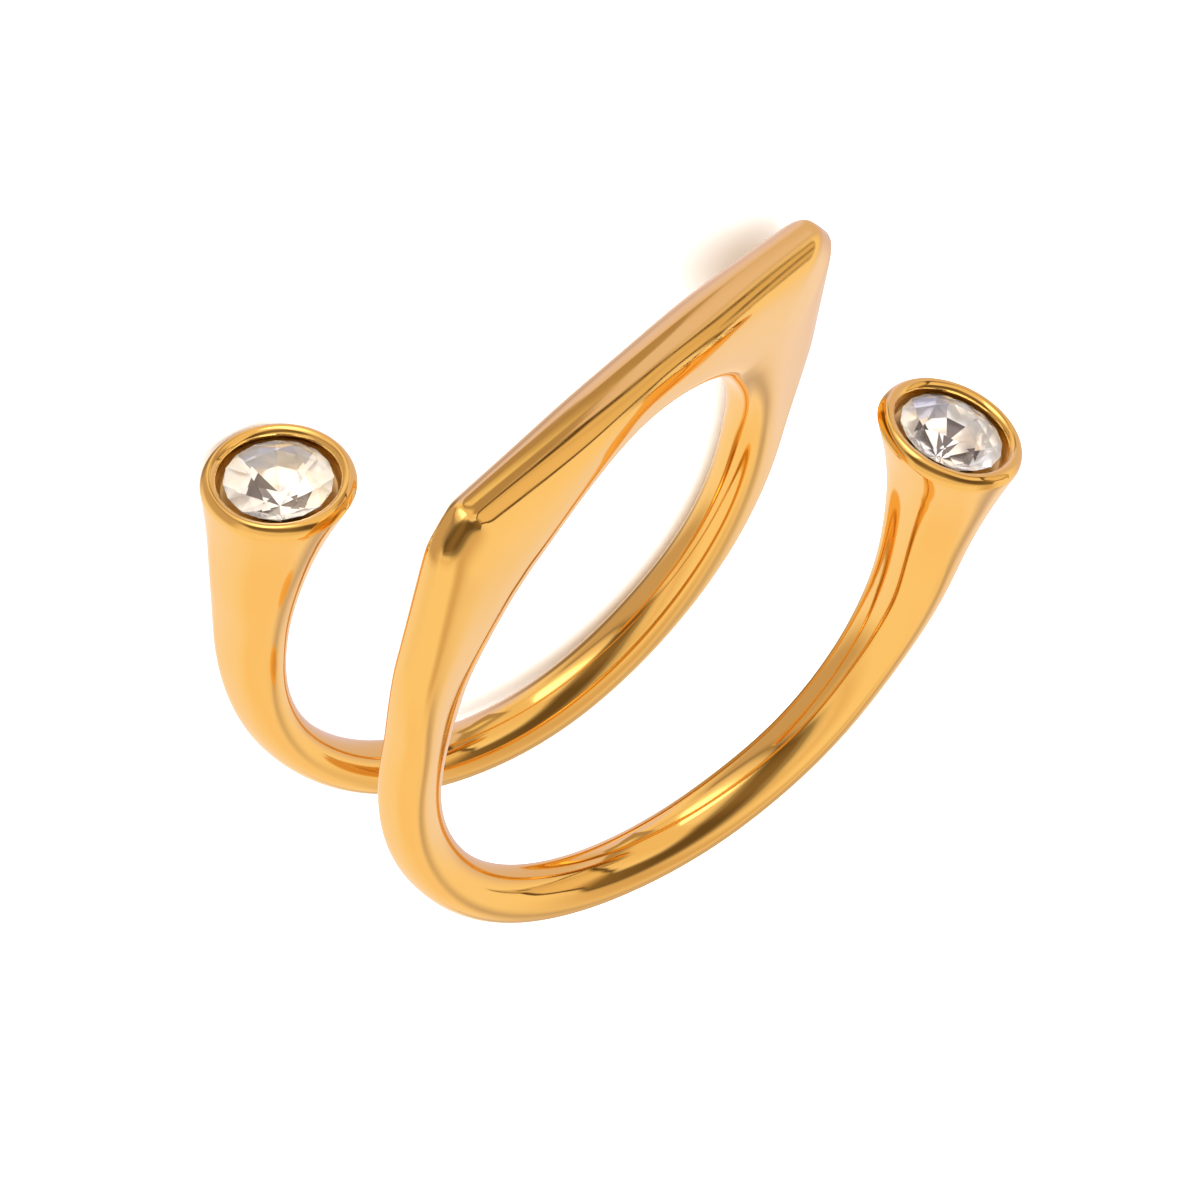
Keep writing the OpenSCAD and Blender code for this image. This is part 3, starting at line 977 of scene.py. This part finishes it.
class BuildBand(bpy.types.Operator):
    """Build the gold wire with its bar, loops, arms and cups"""

    bl_idname = "wrap_ring.band"
    bl_label = "Band"

    def execute(self, context):
        scene = context.scene
        wire = whole_wire(scene.ring_wire, scene.ring_cup, scene.ring_stone)
        sections, square, taper, inside = wire
        turned = rest_matrix(scene.ring_rest)
        spine = bpy.data.meshes.new("spine")
        spine.from_pydata(laid_down(scene.ring_rest, sections[:, 0]).tolist(), [], [])
        for label, rows in (("half_depth", sections[:, 1]), ("half_width", sections[:, 2])):
            layer = spine.attributes.new(label, "FLOAT_VECTOR", "POINT")
            layer.data.foreach_set("vector", (rows @ turned.T * MM).ravel())
        for label, values in (("squareness", square), ("taper", taper), ("inside_cup", inside)):
            layer = spine.attributes.new(label, "FLOAT", "POINT")
            layer.data.foreach_set("value", values)
        metal = polished_gold(scene.ring_gold)
        piece = made_plain(
            "polished_band",
            spine,
            swept_section_tree(),
            {"Sides": scene.ring_wire.sides, "Metal": metal},
        )
        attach(piece, BODY)
        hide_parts("band")
        return {"FINISHED"}


# A stone is one wedge, repeated all round
WEDGES = 8
# Where the two steps of the pavilion meet, as shares of its radius and depth
STEP_WIDE = 0.5
STEP_DEEP = 0.56
# Share of the girdle's thickness that is left over the middle of a main facet
GIRDLE_THIN = 0.125
# Seed of the facets' tones, which share out the painted reflections and painted shade among the facets
TONE_SEED = 7


def stone_wedge(stone):
    """One wedge of a round brilliant, centred on one of its main facets."""
    r = stone.diameter / 2
    side = 180 / WEDGES
    side_cos = math.cos(math.radians(side))
    top = stone.crown_h
    girdle = -stone.girdle_h
    table_r = r * stone.table_share
    star_r = (table_r * side_cos + r) / 2
    star_z = top * (r - star_r * side_cos) / (r - table_r)
    step_r = r * STEP_WIDE
    step_z = girdle - stone.pavilion_h * STEP_DEEP

    def at(radius, degrees, z):
        a = math.radians(degrees)
        return (radius * math.cos(a), radius * math.sin(a), z)

    points = [
        (0, 0, top),
        at(table_r, -side, top),
        at(table_r, side, top),
        at(star_r, 0, star_z),
        at(r, -side, 0),
        at(r, 0, 0),
        at(r, side, 0),
        at(r, -side, girdle),
        at(r, 0, girdle * GIRDLE_THIN),
        at(r, side, girdle),
        at(step_r, -side, step_z),
        at(step_r, side, step_z),
        (0, 0, girdle - stone.pavilion_h),
    ]
    front = [(0, 1, 2), (1, 3, 2), (1, 4, 3), (3, 6, 2), (3, 4, 5), (3, 5, 6)]
    back = [(4, 7, 8, 5), (5, 8, 9, 6), (7, 10, 11, 9, 8), (10, 12, 11)]
    mesh = bpy.data.meshes.new("wedge")
    mesh.from_pydata(points, [], front + back)
    layer = mesh.attributes.new("behind", "BOOLEAN", "FACE")
    layer.data.foreach_set("value", [False] * len(front) + [True] * len(back))
    return mesh


class BuildStones(bpy.types.Operator):
    """Build the two cut stones in their cups"""

    bl_idname = "wrap_ring.stones"
    bl_label = "Stones"

    def execute(self, context):
        scene = context.scene
        stone, cup = scene.ring_stone, scene.ring_cup
        tree = eightfold_stone_tree()
        glass = clear_glass(scene.ring_crystal)
        foil = silver_foil(scene.ring_crystal)
        axis, across, along = cup_axes(cup)
        top = cup_top(cup) - axis * stone.sink / MM
        turned = rest_matrix(scene.ring_rest)
        for name, cad_node, half_turn in (
            ("right_crystal", "right_stone", np.ones(3)),
            ("left_crystal", "left_stone", HALF_TURN),
        ):
            rows = np.stack([turned @ (v * half_turn) for v in (across, along, axis)])
            tilt = Matrix(rows.T.tolist()) @ Matrix.Rotation(math.pi / WEDGES, 3, "Z")
            piece = made_plain(
                name,
                stone_wedge(stone),
                tree,
                {
                    "Repeats": WEDGES,
                    "Centre": tuple(laid_down(scene.ring_rest, top * half_turn)),
                    "Tilt": tuple(tilt.to_euler()),
                    "Glass": glass,
                    "Foil": foil,
                    "Seed": TONE_SEED,
                },
            )
            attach(piece, BODY)
            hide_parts(cad_node)
        return {"FINISHED"}


class BuildStudio(bpy.types.Operator):
    """Build the pale floor, the soft light and the camera"""

    bl_idname = "wrap_ring.studio"
    bl_label = "Studio"

    def execute(self, context):
        scene = context.scene
        studio = scene.ring_studio
        self.floor(scene, studio)
        self.light(scene, studio)
        self.camera(scene, studio)
        scene.view_settings.view_transform = "Standard"
        return {"FINISHED"}

    def floor(self, scene, studio):
        corners = [(x * FLOOR_HALF, y * FLOOR_HALF, 0) for x, y in ((-1, -1), (1, -1), (1, 1), (-1, 1))]
        mesh = bpy.data.meshes.new("floor")
        mesh.from_pydata(corners, [], [range(4)])
        floor = bpy.data.objects.new("floor", mesh)
        scene.collection.objects.link(floor)
        material, tree = new_material("Pale floor")
        surfaced(tree, {"Base Color": studio.floor_colour, "Roughness": FLOOR_ROUGHNESS})
        mesh.materials.append(material)
        floor.visible_glossy = False

    def light(self, scene, studio):
        """A light tent that the metal mirrors, a white room and a soft lamp for the dull surfaces."""
        world = bpy.data.worlds.new("Light tent")
        world.use_nodes = True
        scene.world = world
        tree = world.node_tree
        tree.nodes.clear()
        direction = worn_direction(tree, rest_matrix(scene.ring_rest))
        path = node(tree, "ShaderNodeLightPath").outputs
        through = maths(tree, "MULTIPLY", path["Is Transmission Ray"], ROOM_THROUGH_GLASS)
        dull = maths(tree, "MAXIMUM", path["Is Diffuse Ray"], through)
        shown = blended(tree, dull, tent_colour(tree, direction), studio.room_colour)
        background = node(tree, "ShaderNodeBackground", {"Color": shown})
        node(tree, "ShaderNodeOutputWorld", {"Surface": background.outputs[0]})
        lamp = bpy.data.lights.new("overhead", "AREA")
        lamp.shape = "DISK"
        lamp.size = OVERHEAD_WIDTH
        lamp.energy = OVERHEAD_POWER
        overhead = bpy.data.objects.new("overhead", lamp)
        tilted = Matrix.Rotation(math.radians(OVERHEAD_TILT), 4, "Y")
        overhead.matrix_world = Matrix.Translation(OVERHEAD_PLACE) @ tilted
        overhead.visible_glossy = False
        overhead.visible_transmission = False
        scene.collection.objects.link(overhead)

    def camera(self, scene, studio):
        azimuth, elevation, roll = studio.view_azimuth, studio.view_elevation, studio.view_roll
        level = np.array([math.sin(azimuth), -math.cos(azimuth), 0.0])
        upright = np.array([0.0, 0.0, 1.0])
        back = level * math.cos(elevation) + upright * math.sin(elevation)
        right = unit(np.cross(upright, back))
        up = np.cross(back, right)
        cos, sin = math.cos(roll), math.sin(roll)
        right, up = right * cos + up * sin, up * cos - right * sin
        middle = IMAGE_SIDE / 2
        shift_x = (middle - studio.centre_x) / studio.pixels_per_mm
        shift_y = (studio.centre_y - middle) / studio.pixels_per_mm
        place = right * shift_x + up * shift_y + back * studio.view_distance / MM
        turned = rest_matrix(scene.ring_rest)
        axes = Matrix(np.stack([turned @ right, turned @ up, turned @ back], 1).tolist())
        data = bpy.data.cameras.new("camera")
        data.sensor_width = SENSOR
        data.lens = studio.pixels_per_mm * studio.view_distance / MM / IMAGE_SIDE * SENSOR
        data.clip_start = 0.01
        data.clip_end = 20
        camera = bpy.data.objects.new("camera", data)
        camera.matrix_world = Matrix.Translation(laid_down(scene.ring_rest, place)) @ axes.to_4x4()
        scene.collection.objects.link(camera)
        scene.camera = camera


class RingPanel(bpy.types.Panel):
    """Lists the pieces of the ring in the sidebar"""

    bl_idname = "WRAP_RING_PT_pieces"
    bl_label = "Wrap Ring"
    bl_space_type = "VIEW_3D"
    bl_region_type = "UI"
    bl_category = "Wrap Ring"

    def draw(self, context):
        layout = self.layout
        for operator in (BuildBand, BuildStones, BuildStudio):
            layout.operator(operator.bl_idname)
        for label, kind in GROUPS.items():
            box = layout.box()
            box.label(text=label.replace("ring_", "").capitalize())
            for key in kind.__annotations__:
                box.prop(getattr(context.scene, label), key)


GROUPS = {
    "ring_wire": WireSizes,
    "ring_cup": CupSizes,
    "ring_stone": StoneSizes,
    "ring_rest": RestPose,
    "ring_gold": GoldLook,
    "ring_crystal": CrystalLook,
    "ring_studio": StudioSetup,
}
CLASSES = (*GROUPS.values(), BuildBand, BuildStones, BuildStudio, RingPanel)


def register():
    for made in CLASSES:
        bpy.utils.register_class(made)
    for label, kind in GROUPS.items():
        setattr(bpy.types.Scene, label, bpy.props.PointerProperty(type=kind))


def unregister():
    for label in GROUPS:
        delattr(bpy.types.Scene, label)
    for made in reversed(CLASSES):
        bpy.utils.unregister_class(made)


def main():
    register()
    bpy.ops.wrap_ring.band()
    bpy.ops.wrap_ring.stones()
    bpy.ops.wrap_ring.studio()


if __name__ == "__main__":
    main()
